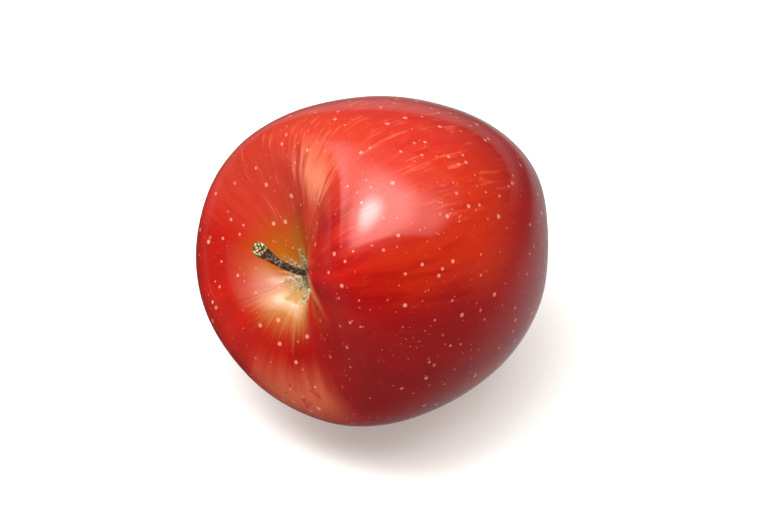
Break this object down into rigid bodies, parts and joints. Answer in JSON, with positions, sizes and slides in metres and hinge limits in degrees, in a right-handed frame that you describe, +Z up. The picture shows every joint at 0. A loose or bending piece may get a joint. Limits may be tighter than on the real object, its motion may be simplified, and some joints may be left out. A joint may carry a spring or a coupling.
{
  "type": "apple",
  "caption": "Whole ripe apple with a woody stem in its stem pit and dried flower remains in the calyx basin, lying on its cheek on a small flat spot.",
  "frame": {"origin": "middle of the small flat spot that the apple lies on", "axes": "+Z up from the surface it lies on; the core lies in the XZ plane, with the stem end towards -X and raised 21 degrees"},
  "size_m": [0.0771, 0.0755, 0.0762],
  "materials": {
    "skin": "waxy apple skin, glossy red over yellow, with pale pores and streaks",
    "bark": "rough dark brown bark with grey flecks",
    "dried_sepal": "dry, matt, brown and faintly downy",
    "dried_stamens": "dry, matt, dark brown threads"
  },
  "bodies": {
    "root": {"fruit": "skin", "stem": "bark", "sepal_1": "dried_sepal", "sepal_2": "dried_sepal", "sepal_3": "dried_sepal", "sepal_4": "dried_sepal", "sepal_5": "dried_sepal", "stamen_tuft": "dried_stamens"}
  },
  "joints": []
}
